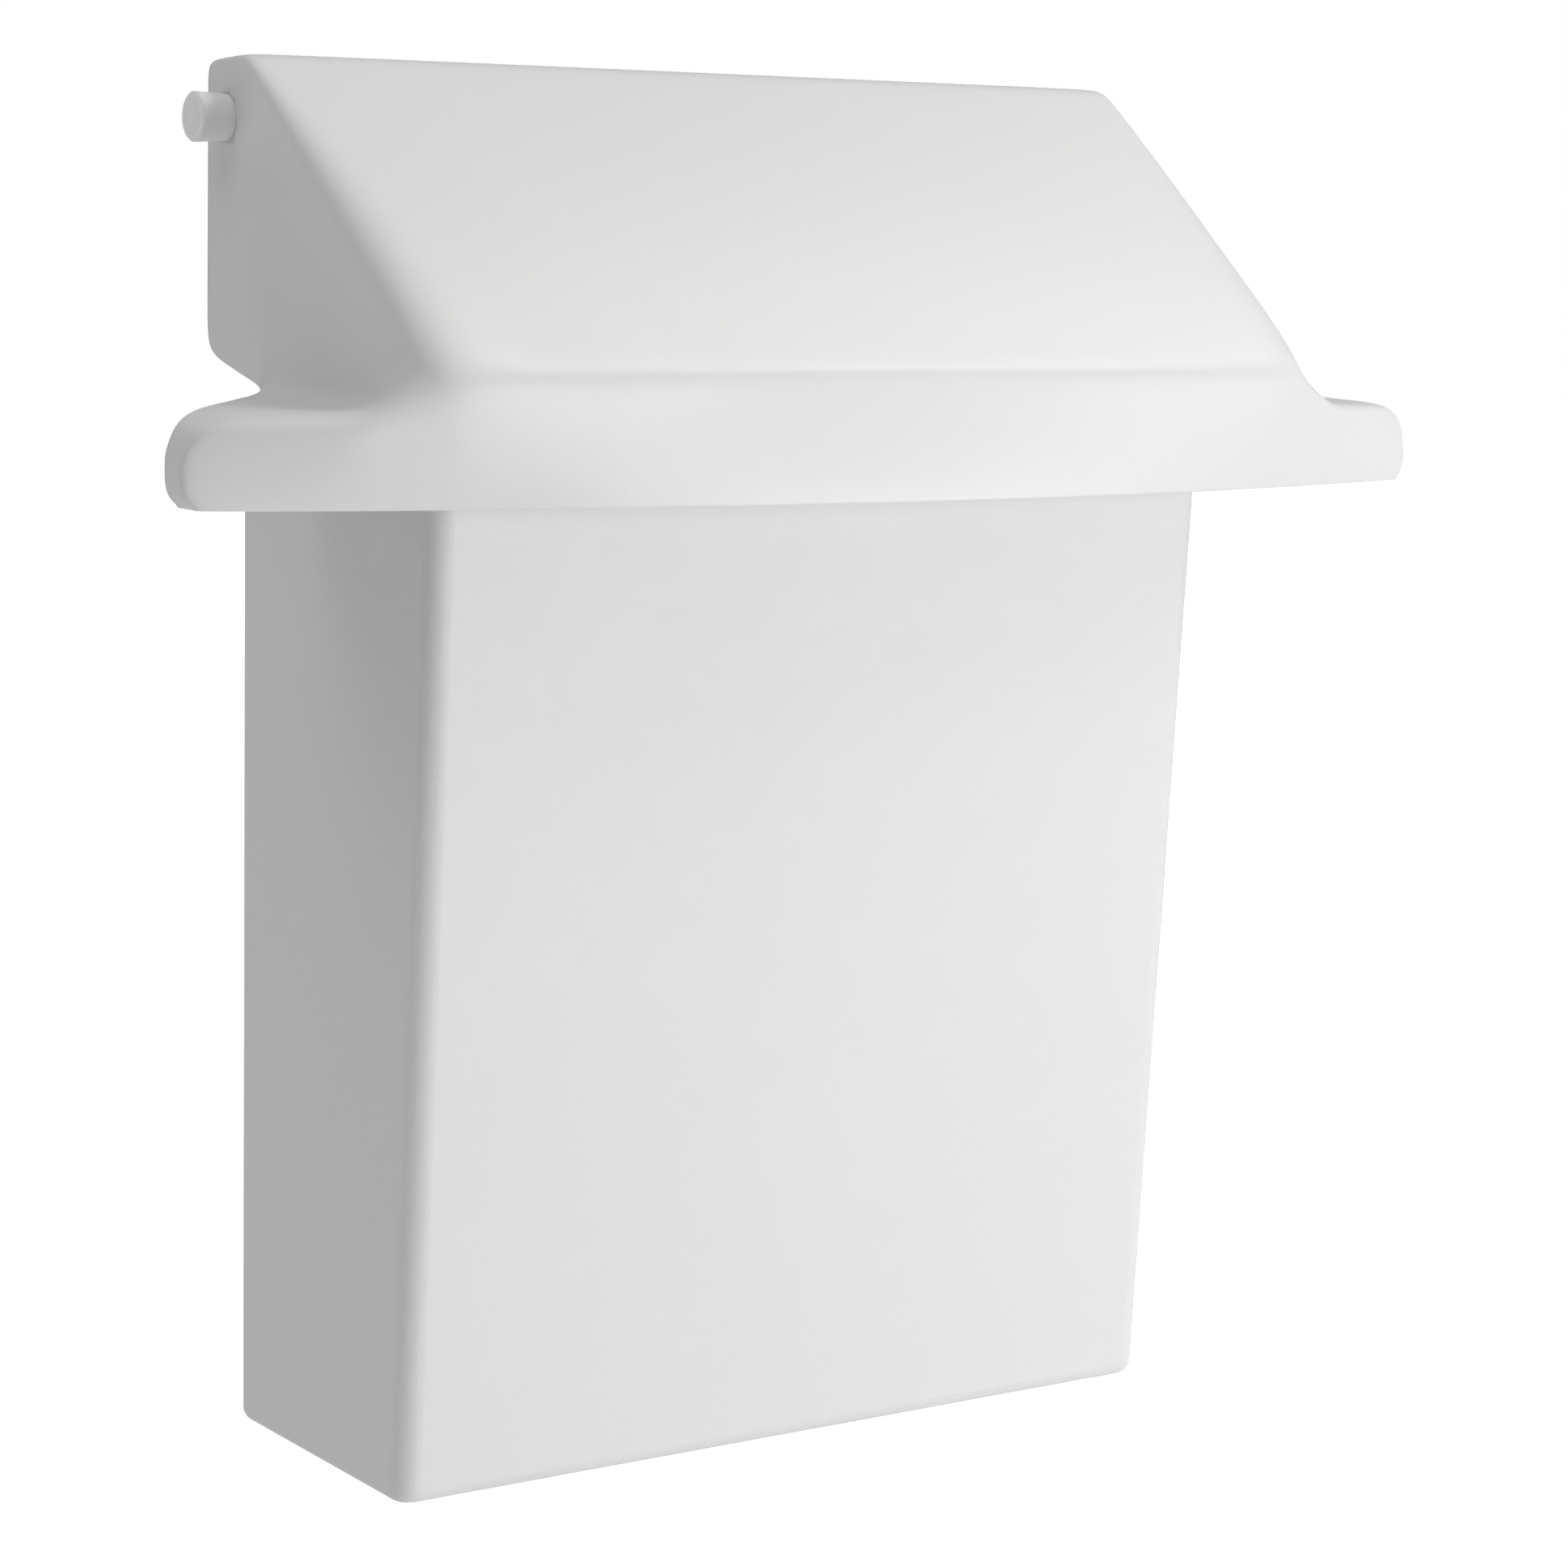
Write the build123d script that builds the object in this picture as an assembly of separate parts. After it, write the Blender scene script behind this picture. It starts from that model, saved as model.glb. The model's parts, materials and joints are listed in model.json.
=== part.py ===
from build123d import *
import math
import os

# Dog waste bin: a moulded body on a steel back plate, a hood that lifts about two pins, and a lift-out liner.
#
# Sizes are in millimetres. X runs across the bin, +Y goes into the wall and +Z is up. The origin is the
# centre of the four wall holes, on the face of the back plate that lies against the wall.
# A "height" is measured up from the bin's base, and a "depth" is measured forwards from the body's back face.

# ---- Body ----
body_width = 410.0
body_side_taper = 2.0
body_depth = 177.0
body_base_depth = 154.0
body_height = 450.0
body_wall = 4.5
body_floor = 5.0
body_corner_radius = 11.0
body_base_radius = 7.0
rim_reach = 10.0
rim_thickness = 5.0
pad_radius = 9.0
pad_thickness = 4.0
pad_stem_radius = 3.0
pad_spacing_x = 300.0
pad_spacing_y = 90.0
drain_radius = 5.0
drain_spacing_x = 240.0
drain_spacing_y = 70.0

# ---- Back plate, wall holes and the studs that carry the body ----
plate_thickness = 3.0
plate_side_inset = 37.0
plate_bottom_height = 50.0
plate_shoulder_rise = 41.0
plate_top_rise = 150.0
plate_corner_radius = 8.0
fixing_drop = 180.0
fixing_spacing_x = 240.0
fixing_spacing_z = 220.0
fixing_hole_radius = 4.5
stud_radius = 3.0
stud_spacing_x = 290.0
stud_spacing_z = 340.0
stud_hole_clearance = 0.25
stud_spare_length = 2.0
nut_across_flats = 10.0
nut_thickness = 6.0
washer_radius = 6.0
washer_thickness = 1.6
thread_clearance = 0.05

# ---- Hinge ----
hinge_depth = 44.0
hinge_rise = 138.0
ear_inset = 29.5
ear_boss_radius = 16.0
ear_neck_drop = 40.0
ear_arm_top_drop = 46.0
pin_radius = 10.0
pin_end_radius = 10.7
pin_stick_out = 15.5
pin_flare_start = 1.5
pin_end_chamfer = 0.8
pin_thread_radius = 6.0
pin_hole_clearance = 0.1
pin_thread_spare = 1.0
pin_cap_radius = 7.6
pin_cap_length = 7.0
pin_dish_depth = 1.6
running_clearance = 0.05
hinge_nut_across_flats = 19.0
hinge_nut_thickness = 6.0
hinge_washer_radius = 12.0
hinge_washer_thickness = 1.6
bush_wall = 3.0
bush_skin = 2.0
boss_wall = 4.0
boss_length = 12.0
spacer_wall = 4.0
side_play = 0.3

# ---- Hood ----
hood_side_reach = 28.0
hood_rise = 165.0
hood_wall = 4.0
hood_rear_depth = 27.0
ridge_depth = 60.0
crease_reach = 50.0
crease_rise = 38.0
crease_bow = 4.0
crease_margin = 8.0
roof_radius = 1500.0
collar_overlap = 17.0
collar_reach = 60.0
collar_bow_radius = 1070.0
hood_edge_radius = 9.0
wing_reach = 90.0
wing_flare = 1.0
wing_setback = 0.5
wing_root_overlap = 12.0
wing_height = 42.0
wing_root_depth = 81.0
wing_tip_thickness = 17.0
wing_tip_radius = 7.0
wing_top_radius = 12.0
cheek_corner_rise = 38.0
notch_rise = 24.0
open_angle = 120.0

# ---- Rubber stops ----
rib_x = 130.0
rib_thickness = 4.0
rib_reach = 8.0
buffer_radius = 4.8
buffer_height = 8.0
buffer_boss_radius = 7.0
buffer_boss_height = 16.0
stem_radius = 2.0
stem_length = 8.0
rest_gap = 0.2
stop_clip_gap = 0.3
stop_clip_face = 4.0
stop_clip_wall = 3.0
stop_clip_grip = 9.0
stop_clip_height = 16.0
stop_clip_rounding = 1.0

# ---- Liner and its bail ----
liner_wall = 1.5
liner_rim_drop = 13.0
liner_side_gap = 8.5
liner_front_gap = 7.0
liner_back_gap = 13.5
liner_corner_radius = 12.0
liner_lip_reach = 2.5
liner_lip_height = 5.0
wire_radius = 3.0
bail_pivot_drop = 20.0
bail_arm_length = 58.0
bail_arm_inset = 10.5
bail_end_spare = 1.5
bail_bend_radius = 8.0
grip_radius = 8.0
grip_length = 110.0
lug_thickness = 2.0
lug_width = 56.0
lug_height = 32.0
lug_corner_radius = 4.0
lug_tab_spacing = 36.0
lug_tab_width = 8.0
lug_tab_reach = 12.0
rivet_radius = 2.0
rivet_head_radius = 4.0
rivet_head_thickness = 1.2
rivet_spacing = 44.0
rivet_drop = 13.0
rivet_seat_gap = 0.05

past = 60.0

# ---- Sizes that follow from the ones above ----
body_base_width = body_width - body_side_taper
fixing_height = body_height - fixing_drop
plate_width = body_width - 2 * plate_side_inset
plate_shoulder_height = body_height + plate_shoulder_rise
plate_top_height = body_height + plate_top_rise
hood_width = body_width + 2 * hood_side_reach
hood_height = body_height + hood_rise
crease_depth = body_depth + crease_reach
crease_height = body_height + crease_rise
collar_front_depth = body_depth + collar_reach
collar_height = body_height - collar_overlap
hinge_height = body_height + hinge_rise
ear_outer_x = hood_width / 2 - ear_inset
wing_span = hood_width + 2 * wing_reach
cheek_corner_height = body_height + cheek_corner_rise
notch_height = body_height + notch_rise
buffer_depth = body_depth + rim_reach / 2
rib_back_depth = buffer_depth - rib_reach
liner_height = body_height - liner_rim_drop


def up(height):
    """Z of a height above the bin's base."""
    return height - fixing_height


def out(depth):
    """Y of a depth forward of the body's back face."""
    return -(plate_thickness + depth)


def side_profile(points):
    """A face in the side view, from (depth, height) points."""
    return make_face(Polyline(*[(0, out(depth), up(height)) for depth, height in points], close=True))


def rod(radius, x_from, x_to, depth, height):
    """A round bar along X."""
    bar = Cylinder(radius, x_to - x_from, align=(Align.CENTER, Align.CENTER, Align.MIN))
    return Pos(x_from, out(depth), up(height)) * Rot(0, 90, 0) * bar


def stud(radius, y_from, y_to, x, z):
    """A round bar along Y."""
    bar = Cylinder(radius, y_to - y_from, align=(Align.CENTER, Align.CENTER, Align.MIN))
    return Pos(x, y_from, z) * Rot(-90, 0, 0) * bar


def post(radius, height_from, height_to, x, depth):
    """A round bar along Z."""
    bar = Cylinder(radius, height_to - height_from, align=(Align.CENTER, Align.CENTER, Align.MIN))
    return Pos(x, out(depth), up(height_from)) * bar


def block(x_range, depth_range, height_range):
    """A box between two values of X, depth and height."""
    size = [high - low for low, high in (x_range, depth_range, height_range)]
    middle = [(low + high) / 2 for low, high in (x_range, depth_range, height_range)]
    return Pos(middle[0], out(middle[1]), up(middle[2])) * Box(*size)


def mirrored(solid):
    """The same piece on the other side of the bin."""
    return mirror(solid, about=Plane.YZ)


def rectangle_places(spacing_x, spacing_other):
    """The four corners of a rectangle about the origin."""
    return [(sx * spacing_x / 2, so * spacing_other / 2) for sx in (-1, 1) for so in (-1, 1)]


# ---- Body ----

def body_depth_at(height):
    """Depth of the body's sloping front face at a height."""
    return body_base_depth + (body_depth - body_base_depth) * height / body_height


def body_half_width_at(height):
    """Half width of the body at a height."""
    return (body_base_width + (body_width - body_base_width) * height / body_height) / 2


def rounded_section(half_width, back_depth, front_depth, height, radius):
    """A level rounded rectangle between two depths."""
    place = Pos(0, out((back_depth + front_depth) / 2), up(height))
    return place * RectangleRounded(2 * half_width, front_depth - back_depth, radius)


def body_block(inset, height_from, height_to):
    """The body as a solid tapered block, its upright faces moved in by inset."""
    sections = []
    for height in (height_from, height_to):
        half_width = body_half_width_at(height) - inset
        front = body_depth_at(height) - inset
        sections.append(rounded_section(half_width, inset, front, height, body_corner_radius - inset))
    return loft(sections, ruled=True)


def make_body_shell():
    """The moulded body: a tapered box with an outward rim, drains, and holes for studs and wall bolts."""
    outside = body_block(0, 0, body_height)
    base_edges = outside.faces().sort_by(Axis.Z)[0].edges()
    outside = fillet(base_edges, body_base_radius)
    rim_section = rounded_section(
        body_width / 2 + rim_reach, 0, body_depth + rim_reach, body_height - rim_thickness, body_corner_radius
    )
    rim = extrude(rim_section, rim_thickness)
    shell = outside + rim - body_block(body_wall, body_floor, body_height + past)
    drain_middle = body_base_depth / 2
    for x, y in rectangle_places(drain_spacing_x, drain_spacing_y):
        shell -= post(drain_radius, -past, 2 * body_floor, x, drain_middle + y)
    for x, depth in pad_places():
        shell -= post(pad_stem_radius, -past, 2 * body_floor, x, depth)
    for x, z in rectangle_places(fixing_spacing_x, fixing_spacing_z):
        shell -= stud(fixing_hole_radius, out(2 * body_wall), past, x, z)
    for x, z in rectangle_places(stud_spacing_x, stud_spacing_z):
        shell -= stud(stud_radius + stud_hole_clearance, out(2 * body_wall), past, x, z)
    return shell


def pad_places():
    """X and depth of the four pads under the liner."""
    return [(x, body_base_depth / 2 + y) for x, y in rectangle_places(pad_spacing_x, pad_spacing_y)]


def make_liner_pads():
    """Four rubber pads pushed into the body's floor, which carry the liner."""
    pads = []
    for x, depth in pad_places():
        disc = post(pad_radius, body_floor, body_floor + pad_thickness, x, depth)
        pads.append(disc + post(pad_stem_radius, 0, body_floor, x, depth))
    return pads


# ---- Back plate ----

def open_lip():
    """Depth and height of the inner corner of the hood's rear lip when the hood is fully open."""
    lip_back = hinge_depth - hood_rear_depth
    lip_rise = hood_height - hood_wall - hinge_height
    angle = math.radians(open_angle)
    back = lip_back * math.cos(angle) + lip_rise * math.sin(angle)
    rise = lip_rise * math.cos(angle) - lip_back * math.sin(angle)
    return hinge_depth - back, hinge_height + rise


def neck_back_depth():
    """Depth of the ear's rear edge below the hinge, which carries the stop clip."""
    return open_lip()[0] + stop_clip_gap + stop_clip_face


def ear_profile():
    """Side view of a hinge ear: an arm from the plate, a neck clear of the hood's lip, and a round boss."""
    front = hinge_depth + ear_boss_radius
    arm = side_profile([
        (-plate_thickness, plate_shoulder_height),
        (-plate_thickness, hinge_height - ear_arm_top_drop),
        (neck_back_depth(), hinge_height - ear_neck_drop),
        (neck_back_depth(), hinge_height),
        (front, hinge_height),
        (front, hinge_height - ear_neck_drop),
        (0, plate_shoulder_height),
    ])
    boss_place = Plane((0, out(hinge_depth), up(hinge_height)), x_dir=(0, 1, 0), z_dir=(1, 0, 0))
    return arm + boss_place * Circle(ear_boss_radius)


def make_back_plate():
    """The folded steel plate: a flat web with wall holes, and two ears that carry the hinge pins."""
    depths = (-plate_thickness, 0)
    web = block((-plate_width / 2, plate_width / 2), depths, (plate_bottom_height, plate_shoulder_height))
    head = block((-ear_outer_x, ear_outer_x), depths, (plate_shoulder_height, plate_top_height))
    corners = web.edges().filter_by(Axis.Y).sort_by(Axis.Z)[:2]
    top_corners = head.edges().filter_by(Axis.Y).sort_by(Axis.Z)[-2:]
    plate = fillet(corners, plate_corner_radius) + fillet(top_corners, plate_corner_radius)
    ear = extrude(Pos(ear_outer_x - plate_thickness, 0, 0) * ear_profile(), plate_thickness, dir=(1, 0, 0))
    ear -= rod(pin_thread_radius + pin_hole_clearance, 0, ear_outer_x + past, hinge_depth, hinge_height)
    plate = plate + ear + mirrored(ear)
    for x, z in rectangle_places(fixing_spacing_x, fixing_spacing_z):
        plate -= stud(fixing_hole_radius, -past, past, x, z)
    return plate


def make_stop_clip():
    """The rubber clip on the ear's neck that the hood's rear lip lands on when the hood is fully open."""
    ear_middle = ear_outer_x - plate_thickness / 2
    half_width = plate_thickness / 2 + stop_clip_wall
    face = neck_back_depth() - stop_clip_face
    height = open_lip()[1]
    heights = (height - stop_clip_height / 2, height + stop_clip_height / 2)
    clip = block((ear_middle - half_width, ear_middle + half_width), (face, face + stop_clip_grip), heights)
    clip = fillet(clip.faces().sort_by(Axis.Y)[-1].edges(), stop_clip_rounding)
    slot = block((ear_outer_x - plate_thickness, ear_outer_x), (neck_back_depth(), face + past), heights)
    return clip - slot


def stud_places():
    """X and Z of the four studs that carry the body."""
    return rectangle_places(stud_spacing_x, stud_spacing_z)


def stud_tip_depth():
    """Depth of the studs' free ends."""
    return body_wall + washer_thickness + nut_thickness + stud_spare_length


def make_plate_studs():
    """Four studs that are welded to the plate and pass through the body's back."""
    return [stud(stud_radius, out(stud_tip_depth()), out(0), x, z) for x, z in stud_places()]


def make_stud_washers():
    """A washer on each stud, against the inside of the body's back."""
    face = body_wall
    washers = []
    for x, z in stud_places():
        disc = stud(washer_radius, out(face + washer_thickness), out(face), x, z)
        hole = stud(stud_radius + stud_hole_clearance, out(past), out(0), x, z)
        washers.append(disc - hole)
    return washers


def hexagon_nut(across_flats, thickness, bore_radius):
    """A hexagon nut that stands on the XY plane."""
    hexagon = RegularPolygon(across_flats / 2, 6, major_radius=False)
    body = extrude(hexagon, thickness)
    cone = Cone(
        across_flats * 0.62, across_flats * 0.62 - thickness, thickness,
        align=(Align.CENTER, Align.CENTER, Align.MIN),
    )
    crown = Pos(0, 0, thickness * 0.45) * cone
    lower = Cylinder(across_flats, thickness * 0.45, align=(Align.CENTER, Align.CENTER, Align.MIN))
    body &= lower + crown
    return body - Cylinder(bore_radius, 3 * thickness)


def make_stud_nuts():
    """A nut on each stud."""
    face = body_wall + washer_thickness
    nut = hexagon_nut(nut_across_flats, nut_thickness, stud_radius + thread_clearance)
    return [Pos(x, out(face), z) * Rot(90, 0, 0) * nut for x, z in stud_places()]


# ---- Hinge, right-hand side ----

def cheek_x():
    """Outer face of the hood's cheek."""
    return hood_width / 2


def boss_inner_x():
    """Inner end of the hinge boss inside the hood's cheek."""
    return cheek_x() - hood_wall - boss_length


def make_hinge_pin():
    """A shouldered pin: a plain length that the hood turns on, a flared end, and a thread through the ear."""
    end_x = cheek_x() + pin_stick_out
    flare_x = cheek_x() + pin_flare_start
    nut_stack = plate_thickness + hinge_washer_thickness + hinge_nut_thickness + pin_thread_spare
    outline = make_face(Polyline(
        (ear_outer_x - nut_stack, 0),
        (ear_outer_x - nut_stack, pin_thread_radius),
        (ear_outer_x, pin_thread_radius),
        (ear_outer_x, pin_radius),
        (flare_x, pin_radius),
        (end_x - pin_end_chamfer, pin_end_radius),
        (end_x, pin_end_radius - pin_end_chamfer),
        (end_x, pin_cap_radius),
        (end_x - pin_cap_length, pin_cap_radius),
        (end_x - pin_cap_length, 0),
        close=True,
    ))
    return Pos(0, out(hinge_depth), up(hinge_height)) * revolve(outline, Axis.X, 360)


def make_pin_cap():
    """The plug that closes the pin's hollow end, with a shallow dished face."""
    end_x = cheek_x() + pin_stick_out
    plug = rod(pin_cap_radius, end_x - pin_cap_length, end_x, hinge_depth, hinge_height)
    dish_radius = (pin_cap_radius ** 2 + pin_dish_depth ** 2) / (2 * pin_dish_depth)
    dish_x = end_x + dish_radius - pin_dish_depth
    return plug - Pos(dish_x, out(hinge_depth), up(hinge_height)) * Sphere(dish_radius)


def make_hinge_washer():
    """The washer against the inside of the ear."""
    face = ear_outer_x - plate_thickness
    disc = rod(hinge_washer_radius, face - hinge_washer_thickness, face, hinge_depth, hinge_height)
    return disc - rod(pin_thread_radius + pin_hole_clearance, 0, face + past, hinge_depth, hinge_height)


def make_hinge_nut():
    """The nut that holds the pin in the ear."""
    face = ear_outer_x - plate_thickness - hinge_washer_thickness
    nut = hexagon_nut(hinge_nut_across_flats, hinge_nut_thickness, pin_thread_radius + thread_clearance)
    return Pos(face, out(hinge_depth), up(hinge_height)) * Rot(0, -90, 0) * nut


def make_hinge_spacer():
    """The nylon sleeve that keeps the hood central between the ears."""
    far_x = boss_inner_x() - side_play
    inner = pin_radius + running_clearance
    sleeve = rod(inner + spacer_wall, ear_outer_x, far_x, hinge_depth, hinge_height)
    return sleeve - rod(inner, ear_outer_x - past, far_x + past, hinge_depth, hinge_height)


def bush_radius():
    """Outside radius of the hinge bush."""
    return pin_radius + running_clearance + bush_wall


def make_hinge_bush():
    """The nylon bush pressed into the cheek's boss from inside."""
    far_x = cheek_x() - bush_skin
    sleeve = rod(bush_radius(), boss_inner_x(), far_x, hinge_depth, hinge_height)
    return sleeve - rod(pin_radius + running_clearance, 0, far_x + past, hinge_depth, hinge_height)


# ---- Hood ----

def roof_centre():
    """Depth and height of the centre of the roof's long arc, from the ridge and the crease."""
    chord_depth = crease_depth - ridge_depth
    chord_drop = crease_height - hood_height
    chord = math.hypot(chord_depth, chord_drop)
    reach = math.sqrt(roof_radius ** 2 - (chord / 2) ** 2)
    middle_depth = (ridge_depth + crease_depth) / 2
    middle_height = (hood_height + crease_height) / 2
    return middle_depth + reach * chord_drop / chord, middle_height - reach * chord_depth / chord


def bow_fall(x):
    """How far the collar's bowed front has fallen back at a distance from the middle."""
    return collar_bow_radius - math.sqrt(collar_bow_radius ** 2 - x ** 2)


def bow_cone(inset):
    """The round surface that the wings' bowed front follows, just behind the collar's front."""
    slope = math.tan(math.radians(wing_flare))
    low = collar_height - past
    high = collar_height + wing_height + past
    radius = collar_bow_radius - wing_setback - inset
    low_radius = radius + (collar_height - low) * slope
    high_radius = radius - (high - collar_height) * slope
    cone = Cone(low_radius, high_radius, high - low, align=(Align.CENTER, Align.CENTER, Align.MIN))
    return Pos(0, out(collar_front_depth) + collar_bow_radius, up(low)) * cone


def front_section(inset, height):
    """A level section whose front edge bows from the collar's bottom line towards the straighter crease."""
    half_width = cheek_x() - inset
    bow = bow_fall(half_width)
    share = (height - collar_height) / (crease_height - collar_height)
    middle = collar_front_depth + share * (crease_depth - collar_front_depth) - inset
    side = middle - bow + share * (bow - crease_bow)
    rear_y = out(hood_rear_depth - 2 * past)
    left_end = (-half_width, out(side))
    right_end = (half_width, out(side))
    rear_line = Polyline(left_end, (-half_width, rear_y), (half_width, rear_y), right_end)
    front_arc = ThreePointArc(right_end, (0, out(middle)), left_end)
    return Pos(0, 0, up(height)) * make_face(rear_line + front_arc)


def front_block(inset):
    """Everything behind the hood's front face, from below the collar to above the ridge."""
    crease_top = crease_height + crease_margin
    low_section = front_section(inset, collar_height - past)
    top_section = front_section(inset, crease_top)
    upper = extrude(top_section, hood_height + past - crease_top, dir=(0, 0, 1))
    return loft([low_section, top_section], ruled=True) + upper


def roof_block(inset):
    """The hood between its cheeks as a solid, outer faces moved in by inset and open sides run past."""
    half_width = cheek_x() - inset
    low = collar_height - (past if inset else 0)
    rear = hood_rear_depth - (past if inset else 0)
    front = collar_front_depth + past
    top = hood_height - inset
    centre_depth, centre_height = roof_centre()
    roof_place = Plane((0, out(centre_depth), up(centre_height)), x_dir=(0, 1, 0), z_dir=(1, 0, 0))
    profile = side_profile([(rear, low), (rear, top), (front, top), (front, low)])
    profile &= roof_place * Circle(roof_radius - inset)
    solid = extrude(Pos(-half_width, 0, 0) * profile, 2 * half_width, dir=(1, 0, 0)) & front_block(inset)
    crease = [
        e for e in solid.edges()
        if abs(e.center().X) < 1 and abs(e.center().Z - up(crease_height - inset)) < 3 * crease_margin
        and e.center().Y < out(ridge_depth)
    ]
    cheek_edges = [
        e for e in solid.edges()
        if abs(abs(e.center().X) - half_width) < 0.5
        and e.center().Y < out(rear) - 1
        and e.center().Z > up(low) + 1
    ]
    top_edges = [
        e for e in solid.edges()
        if abs(e.center().X) < 1 and abs(e.center().Z - up(top)) < 0.5 and e.center().Y < out(rear) - 1
    ]
    return fillet(crease + cheek_edges + top_edges, hood_edge_radius - inset)


def wing_block(inset):
    """The right-hand wing as a solid, outer faces moved in by inset and the open bottom run past."""
    tip_x = wing_span / 2
    tip_depth = collar_front_depth - bow_fall(tip_x) - wing_tip_thickness
    slant = (tip_depth - wing_root_depth) / (tip_x - cheek_x())
    inner_x = cheek_x() - wing_root_overlap
    inner_depth = wing_root_depth - slant * wing_root_overlap
    front = collar_front_depth + past
    corners = [(inner_x, inner_depth), (tip_x, tip_depth), (tip_x, front), (inner_x, front)]
    plan = make_face(Polyline(*[(x, out(depth)) for x, depth in corners], close=True))
    if inset:
        plan = offset(plan, -inset, kind=Kind.INTERSECTION)
    low = collar_height - (past if inset else 0)
    top = collar_height + wing_height - inset
    solid = extrude(Pos(0, 0, up(low)) * plan, top - low) & bow_cone(inset)
    tip_edges = [e for e in solid.edges().filter_by(GeomType.LINE) if e.center().X > tip_x - inset - 2]
    upright_edges = [e for e in tip_edges if e.bounding_box().size.Z > wing_height / 2]
    solid = fillet(upright_edges, wing_tip_radius - inset)
    top_edges = [e for e in solid.edges() if abs(e.center().Z - up(top)) < 0.5 and e.center().X > cheek_x()]
    return fillet(top_edges, wing_top_radius - inset)


def hood_block(inset):
    """The hood and both its wings as one solid, outer faces moved in by inset."""
    wing = wing_block(inset)
    return roof_block(inset) + wing + mirrored(wing)


def make_hood():
    """The moulded hood: shell, stop ribs with buffer bosses, hinge bosses, and the notch under each cheek."""
    shell = hood_block(0) - hood_block(hood_wall)
    rib_low = body_height + rest_gap + buffer_height
    rib = block(
        (rib_x - rib_thickness / 2, rib_x + rib_thickness / 2),
        (rib_back_depth, collar_front_depth + past),
        (rib_low, hood_height),
    )
    buffer_boss = post(buffer_boss_radius, rib_low, rib_low + buffer_boss_height, rib_x, buffer_depth)
    stem_hole = post(stem_radius, rib_low - 1, rib_low + stem_length, rib_x, buffer_depth)
    boss_far_x = cheek_x() - hood_wall / 2
    hinge_boss = rod(bush_radius() + boss_wall, boss_inner_x(), boss_far_x, hinge_depth, hinge_height)
    rib_in_hood = (rib & roof_block(hood_wall / 2)) + buffer_boss
    boss_in_hood = hinge_boss & roof_block(hood_wall / 2)
    shell = shell + rib_in_hood + mirrored(rib_in_hood) + boss_in_hood + mirrored(boss_in_hood)
    bush_pocket = rod(bush_radius(), 0, cheek_x() - bush_skin, hinge_depth, hinge_height)
    pin_hole = rod(pin_radius + side_play, 0, cheek_x() + past, hinge_depth, hinge_height)
    for cut in (stem_hole, bush_pocket, pin_hole):
        shell -= cut
        shell -= mirrored(cut)
    notch = extrude(side_profile([
        (hood_rear_depth - past, collar_height - past),
        (hood_rear_depth - past, cheek_corner_height),
        (hood_rear_depth, cheek_corner_height),
        (wing_root_depth, notch_height),
        (wing_root_depth, collar_height - past),
    ]), wing_span / 2, both=True)
    return shell - notch


# ---- Rubber stops ----

def make_lid_buffer():
    """The rubber buffer under a stop rib, which rests on the body's rim."""
    low = body_height + rest_gap
    foot = post(buffer_radius, low, low + buffer_height, rib_x, buffer_depth)
    foot = fillet(foot.faces().sort_by(Axis.Z)[0].edges(), 1.0)
    stem = post(stem_radius, low + buffer_height, low + buffer_height + stem_length, rib_x, buffer_depth)
    return foot + stem


# ---- Liner and bail ----

def liner_half_width_at(height):
    """Half width of the liner's outer face at a height."""
    return body_half_width_at(height) - liner_side_gap - body_wall


def liner_front_at(height):
    """Depth of the liner's front outer face at a height."""
    return body_depth_at(height) - liner_front_gap - body_wall


def liner_back():
    """Depth of the liner's back outer face."""
    return body_wall + liner_back_gap


def liner_bottom():
    """Height of the liner's underside, just above its pads."""
    return body_floor + pad_thickness + rest_gap


def liner_top():
    """Height of the liner's rim."""
    return liner_bottom() + liner_height


def liner_block(inset, height_from, height_to):
    """The liner as a solid tapered block, its upright faces moved in by inset."""
    sections = []
    for height in (height_from, height_to):
        half_width = liner_half_width_at(height) - inset
        front = liner_front_at(height) - inset
        radius = liner_corner_radius - inset
        sections.append(rounded_section(half_width, liner_back() + inset, front, height, radius))
    return loft(sections, ruled=True)


def bail_height():
    """Height of the bail's pivots."""
    return liner_top() - bail_pivot_drop


def bail_depth():
    """Depth of the bail's pivots, midway between the liner's front and back walls."""
    return (liner_back() + liner_front_at(bail_height())) / 2


def lug_face_x():
    """Inside face of the liner's side wall at the bail lugs."""
    return liner_half_width_at(bail_height() - lug_height) - liner_wall


def rivet_places():
    """Depth and height of the two rivets of a lug."""
    middle = bail_depth()
    height = bail_height() - rivet_drop
    return [(middle - rivet_spacing / 2, height), (middle + rivet_spacing / 2, height)]


def make_liner():
    """The lift-out liner: a folded steel bucket with a turned-out lip, which stands on its pads."""
    top = liner_top()
    outside = liner_block(0, liner_bottom(), top)
    lip_section = rounded_section(
        liner_half_width_at(top) + liner_lip_reach, liner_back() - liner_lip_reach,
        liner_front_at(top) + liner_lip_reach, top - liner_lip_height, liner_corner_radius + liner_lip_reach,
    )
    lip = extrude(lip_section, liner_lip_height)
    shell = outside + lip - liner_block(liner_wall, liner_bottom() + liner_wall, top + past)
    far = liner_half_width_at(top) + past
    shell -= rod(wire_radius + running_clearance, -far, far, bail_depth(), bail_height())
    for depth, height in rivet_places():
        shell -= rod(rivet_radius, -far, far, depth, height)
    return shell


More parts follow.
